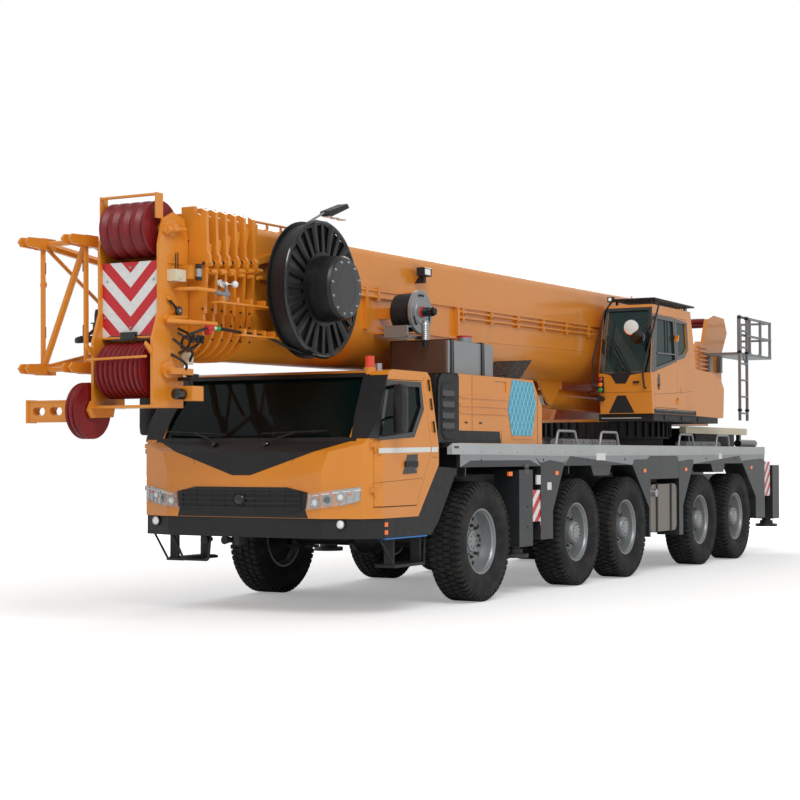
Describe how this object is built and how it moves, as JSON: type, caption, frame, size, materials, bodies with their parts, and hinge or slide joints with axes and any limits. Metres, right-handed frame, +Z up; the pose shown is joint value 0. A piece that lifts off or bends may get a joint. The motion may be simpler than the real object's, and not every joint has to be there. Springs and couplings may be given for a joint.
{
  "type": "five-axle mobile crane",
  "caption": "Five-axle all-terrain mobile crane with a telescopic boom, two cabs, outriggers and a stowed lattice jib.",
  "frame": {"origin": "on the ground under the middle of the overall length and width", "axes": "+X towards the driver's cab, +Y to the crane's left, +Z up"},
  "size_m": [16.4251, 3.3048, 4.275],
  "materials": {
    "crane_paint": "gloss",
    "chassis_paint": "satin",
    "deck_paint": "satin",
    "dark_trim": "satin",
    "cast_steel": "matt",
    "clear_glass": "clear",
    "cab_fabric": "matt",
    "tank_metal": "satin",
    "tyre_rubber": "matt",
    "chrome_rod": "polished",
    "grey_aluminium": "satin",
    "dark_steel": "satin",
    "sheave_plastic": "satin"
  },
  "bodies": {
    "carrier": {"carrier_frame": "chassis_paint", "carrier_deck": "deck_paint", "drive_train": "cast_steel", "driver_cab": "crane_paint", "cab_glass": "clear_glass", "cab_interior": "cab_fabric", "cab_trim": "dark_trim", "engine_hood": "crane_paint", "carrier_tanks": "tank_metal"},
    "driver_door_left": {"driver_door_left": "crane_paint"},
    "driver_door_right": {"driver_door_right": "crane_paint"},
    "wheel_1_left": {"wheel_1_left": "tyre_rubber"},
    "knuckle_1_left": {"knuckle_1_left": "cast_steel"},
    "wheel_1_right": {"wheel_1_right": "tyre_rubber"},
    "knuckle_1_right": {"knuckle_1_right": "cast_steel"},
    "wheel_2_left": {"wheel_2_left": "tyre_rubber"},
    "knuckle_2_left": {"knuckle_2_left": "cast_steel"},
    "wheel_2_right": {"wheel_2_right": "tyre_rubber"},
    "knuckle_2_right": {"knuckle_2_right": "cast_steel"},
    "wheel_3_left": {"wheel_3_left": "tyre_rubber"},
    "wheel_3_right": {"wheel_3_right": "tyre_rubber"},
    "wheel_4_left": {"wheel_4_left": "tyre_rubber"},
    "knuckle_4_left": {"knuckle_4_left": "cast_steel"},
    "wheel_4_right": {"wheel_4_right": "tyre_rubber"},
    "knuckle_4_right": {"knuckle_4_right": "cast_steel"},
    "wheel_5_left": {"wheel_5_left": "tyre_rubber"},
    "knuckle_5_left": {"knuckle_5_left": "cast_steel"},
    "wheel_5_right": {"wheel_5_right": "tyre_rubber"},
    "knuckle_5_right": {"knuckle_5_right": "cast_steel"},
    "outrigger_beam_front_left": {"outrigger_beam_front_left": "crane_paint"},
    "outrigger_jack_front_left": {"outrigger_jack_front_left": "chrome_rod"},
    "outrigger_beam_front_right": {"outrigger_beam_front_right": "crane_paint"},
    "outrigger_jack_front_right": {"outrigger_jack_front_right": "chrome_rod"},
    "outrigger_beam_rear_left": {"outrigger_beam_rear_left": "crane_paint"},
    "outrigger_jack_rear_left": {"outrigger_jack_rear_left": "chrome_rod"},
    "outrigger_beam_rear_right": {"outrigger_beam_rear_right": "crane_paint"},
    "outrigger_jack_rear_right": {"outrigger_jack_rear_right": "chrome_rod"},
    "superstructure": {"turntable": "crane_paint", "operator_cab": "crane_paint", "operator_glass": "clear_glass", "rear_platform": "grey_aluminium"},
    "operator_door": {"operator_door": "crane_paint"},
    "winch_drum": {"winch_drum": "dark_steel"},
    "boom_base": {"boom_base": "crane_paint", "swing_jib": "crane_paint"},
    "boom_section_1": {"boom_section_1": "crane_paint"},
    "boom_section_2": {"boom_section_2": "crane_paint"},
    "boom_section_3": {"boom_section_3": "crane_paint"},
    "boom_section_4": {"boom_section_4": "crane_paint"},
    "boom_section_5": {"boom_section_5": "crane_paint"},
    "boom_section_6": {"boom_section_6": "crane_paint"},
    "head_sheaves_upper": {"head_sheaves_upper": "sheave_plastic"},
    "head_sheaves_lower": {"head_sheaves_lower": "sheave_plastic"},
    "aux_sheave": {"aux_sheave": "sheave_plastic"},
    "aux_arm": {"aux_arm": "crane_paint"},
    "hose_reel": {"hose_reel": "dark_trim"},
    "rope_reel": {"rope_reel": "dark_steel"},
    "luff_barrel": {"luff_barrel": "crane_paint"},
    "luff_rod": {"luff_rod": "chrome_rod"}
  },
  "joints": [
    {"name": "driver_door_left_hinge", "type": "hinge", "parent": "carrier", "child": "driver_door_left", "pos_m": [5.78044, 1.412, 1.7], "axis": [0, 0, -1], "range_deg": [0, 70]},
    {"name": "driver_door_right_hinge", "type": "hinge", "parent": "carrier", "child": "driver_door_right", "pos_m": [5.78044, -1.412, 1.7], "axis": [0, 0, 1], "range_deg": [0, 70]},
    {"name": "steer_1_left", "type": "hinge", "parent": "carrier", "child": "knuckle_1_left", "pos_m": [3.48744, 1, 0.665], "axis": [0, 0, 1], "range_deg": [-30, 30]},
    {"name": "spin_1_left", "type": "hinge", "parent": "knuckle_1_left", "child": "wheel_1_left", "pos_m": [3.48744, 1.3075, 0.665], "axis": [0, 1, 0], "continuous": true},
    {"name": "steer_1_right", "type": "hinge", "parent": "carrier", "child": "knuckle_1_right", "pos_m": [3.48744, -1, 0.665], "axis": [0, 0, 1], "range_deg": [-30, 30]},
    {"name": "spin_1_right", "type": "hinge", "parent": "knuckle_1_right", "child": "wheel_1_right", "pos_m": [3.48744, -1.3075, 0.665], "axis": [0, 1, 0], "continuous": true},
    {"name": "steer_2_left", "type": "hinge", "parent": "carrier", "child": "knuckle_2_left", "pos_m": [0.83744, 1, 0.665], "axis": [0, 0, 1], "range_deg": [-22, 22]},
    {"name": "spin_2_left", "type": "hinge", "parent": "knuckle_2_left", "child": "wheel_2_left", "pos_m": [0.83744, 1.3075, 0.665], "axis": [0, 1, 0], "continuous": true},
    {"name": "steer_2_right", "type": "hinge", "parent": "carrier", "child": "knuckle_2_right", "pos_m": [0.83744, -1, 0.665], "axis": [0, 0, 1], "range_deg": [-22, 22]},
    {"name": "spin_2_right", "type": "hinge", "parent": "knuckle_2_right", "child": "wheel_2_right", "pos_m": [0.83744, -1.3075, 0.665], "axis": [0, 1, 0], "continuous": true},
    {"name": "spin_3_left", "type": "hinge", "parent": "carrier", "child": "wheel_3_left", "pos_m": [-0.81256, 1.3075, 0.665], "axis": [0, 1, 0], "continuous": true},
    {"name": "spin_3_right", "type": "hinge", "parent": "carrier", "child": "wheel_3_right", "pos_m": [-0.81256, -1.3075, 0.665], "axis": [0, 1, 0], "continuous": true},
    {"name": "steer_4_left", "type": "hinge", "parent": "carrier", "child": "knuckle_4_left", "pos_m": [-3.76256, 1, 0.665], "axis": [0, 0, 1], "range_deg": [-12, 12]},
    {"name": "spin_4_left", "type": "hinge", "parent": "knuckle_4_left", "child": "wheel_4_left", "pos_m": [-3.76256, 1.3075, 0.665], "axis": [0, 1, 0], "continuous": true},
    {"name": "steer_4_right", "type": "hinge", "parent": "carrier", "child": "knuckle_4_right", "pos_m": [-3.76256, -1, 0.665], "axis": [0, 0, 1], "range_deg": [-12, 12]},
    {"name": "spin_4_right", "type": "hinge", "parent": "knuckle_4_right", "child": "wheel_4_right", "pos_m": [-3.76256, -1.3075, 0.665], "axis": [0, 1, 0], "continuous": true},
    {"name": "steer_5_left", "type": "hinge", "parent": "carrier", "child": "knuckle_5_left", "pos_m": [-5.41256, 1, 0.665], "axis": [0, 0, 1], "range_deg": [-20, 20]},
    {"name": "spin_5_left", "type": "hinge", "parent": "knuckle_5_left", "child": "wheel_5_left", "pos_m": [-5.41256, 1.3075, 0.665], "axis": [0, 1, 0], "continuous": true},
    {"name": "steer_5_right", "type": "hinge", "parent": "carrier", "child": "knuckle_5_right", "pos_m": [-5.41256, -1, 0.665], "axis": [0, 0, 1], "range_deg": [-20, 20]},
    {"name": "spin_5_right", "type": "hinge", "parent": "knuckle_5_right", "child": "wheel_5_right", "pos_m": [-5.41256, -1.3075, 0.665], "axis": [0, 1, 0], "continuous": true},
    {"name": "extend_front_left", "type": "slide", "parent": "carrier", "child": "outrigger_beam_front_left", "axis": [0, 1, 0], "range_m": [0, 2]},
    {"name": "lower_front_left", "type": "slide", "parent": "outrigger_beam_front_left", "child": "outrigger_jack_front_left", "axis": [0, 0, -1], "range_m": [0, 0.6]},
    {"name": "extend_front_right", "type": "slide", "parent": "carrier", "child": "outrigger_beam_front_right", "axis": [0, -1, 0], "range_m": [0, 2]},
    {"name": "lower_front_right", "type": "slide", "parent": "outrigger_beam_front_right", "child": "outrigger_jack_front_right", "axis": [0, 0, -1], "range_m": [0, 0.6]},
    {"name": "extend_rear_left", "type": "slide", "parent": "carrier", "child": "outrigger_beam_rear_left", "axis": [0, 1, 0], "range_m": [0, 2]},
    {"name": "lower_rear_left", "type": "slide", "parent": "outrigger_beam_rear_left", "child": "outrigger_jack_rear_left", "axis": [0, 0, -1], "range_m": [0, 0.6]},
    {"name": "extend_rear_right", "type": "slide", "parent": "carrier", "child": "outrigger_beam_rear_right", "axis": [0, -1, 0], "range_m": [0, 2]},
    {"name": "lower_rear_right", "type": "slide", "parent": "outrigger_beam_rear_right", "child": "outrigger_jack_rear_right", "axis": [0, 0, -1], "range_m": [0, 0.6]},
    {"name": "slew", "type": "hinge", "parent": "carrier", "child": "superstructure", "pos_m": [-3.51256, 0, 2.0997], "axis": [0, 0, 1], "continuous": true},
    {"name": "operator_door_hinge", "type": "hinge", "parent": "superstructure", "child": "operator_door", "pos_m": [-2.91556, 1.432, 3], "axis": [0, 0, 1], "range_deg": [0, 75]},
    {"name": "winch_turn", "type": "hinge", "parent": "superstructure", "child": "winch_drum", "pos_m": [-6.84256, 0, 3.05], "axis": [0, 1, 0], "continuous": true},
    {"name": "luff", "type": "hinge", "parent": "superstructure", "child": "boom_base", "pos_m": [-5.51256, 0, 3.15], "axis": [0, -1, 0], "range_deg": [0, 80]},
    {"name": "telescope_1", "type": "slide", "parent": "boom_base", "child": "boom_section_1", "axis": [0.9999, 0, -0.0105], "range_m": [0, 9.3]},
    {"name": "telescope_2", "type": "slide", "parent": "boom_section_1", "child": "boom_section_2", "axis": [0.9999, 0, -0.0105], "range_m": [0, 9.3]},
    {"name": "telescope_3", "type": "slide", "parent": "boom_section_2", "child": "boom_section_3", "axis": [0.9999, 0, -0.0105], "range_m": [0, 9.3]},
    {"name": "telescope_4", "type": "slide", "parent": "boom_section_3", "child": "boom_section_4", "axis": [0.9999, 0, -0.0105], "range_m": [0, 9.3]},
    {"name": "telescope_5", "type": "slide", "parent": "boom_section_4", "child": "boom_section_5", "axis": [0.9999, 0, -0.0105], "range_m": [0, 9.3]},
    {"name": "telescope_6", "type": "slide", "parent": "boom_section_5", "child": "boom_section_6", "axis": [0.9999, 0, -0.0105], "range_m": [0, 9.3]},
    {"name": "head_sheaves_upper_turn", "type": "hinge", "parent": "boom_section_6", "child": "head_sheaves_upper", "pos_m": [7.75525, 0, 3.73009], "axis": [0, 1, 0], "continuous": true},
    {"name": "head_sheaves_lower_turn", "type": "hinge", "parent": "boom_section_6", "child": "head_sheaves_lower", "pos_m": [7.80743, 0, 2.41047], "axis": [0, 1, 0], "continuous": true},
    {"name": "aux_sheave_turn", "type": "hinge", "parent": "boom_section_6", "child": "aux_sheave", "pos_m": [7.94756, -0.436, 2.03999], "axis": [0, 1, 0], "continuous": true},
    {"name": "aux_arm_swing", "type": "hinge", "parent": "boom_section_6", "child": "aux_arm", "pos_m": [7.94756, -0.575, 2.03999], "axis": [0.0105, 0, 0.9999], "range_deg": [0, 90]},
    {"name": "hose_reel_turn", "type": "hinge", "parent": "boom_base", "child": "hose_reel", "pos_m": [5.98744, 0, 3.28], "axis": [0, 1, 0], "continuous": true},
    {"name": "rope_reel_turn", "type": "hinge", "parent": "boom_base", "child": "rope_reel", "pos_m": [4.05744, 0, 3.19], "axis": [0, 1, 0], "continuous": true},
    {"name": "cylinder_swing", "type": "hinge", "parent": "superstructure", "child": "luff_barrel", "pos_m": [-4.21256, 0, 2.385], "axis": [0, -1, 0], "range_deg": [0, 87.36]},
    {"name": "cylinder_stroke", "type": "slide", "parent": "luff_barrel", "child": "luff_rod", "axis": [0.9999, 0, 0.0133], "range_m": [0, 1.87666]}
  ],
  "couplings": [
    {"joint": "steer_1_right", "follows": "steer_1_left", "ratio": 1},
    {"joint": "steer_2_left", "follows": "steer_1_left", "ratio": 0.73333},
    {"joint": "steer_2_right", "follows": "steer_1_left", "ratio": 0.73333},
    {"joint": "steer_5_right", "follows": "steer_5_left", "ratio": 1},
    {"joint": "steer_4_left", "follows": "steer_5_left", "ratio": 0.6},
    {"joint": "steer_4_right", "follows": "steer_5_left", "ratio": 0.6},
    {"joint": "telescope_2", "follows": "telescope_1", "ratio": 1},
    {"joint": "telescope_3", "follows": "telescope_1", "ratio": 1},
    {"joint": "telescope_4", "follows": "telescope_1", "ratio": 1},
    {"joint": "telescope_5", "follows": "telescope_1", "ratio": 1},
    {"joint": "telescope_6", "follows": "telescope_1", "ratio": 1},
    {"joint": "cylinder_swing", "follows": "luff", "ratio": 1.0918},
    {"joint": "cylinder_stroke", "follows": "luff", "m_per_rad": 1.3437}
  ]
}
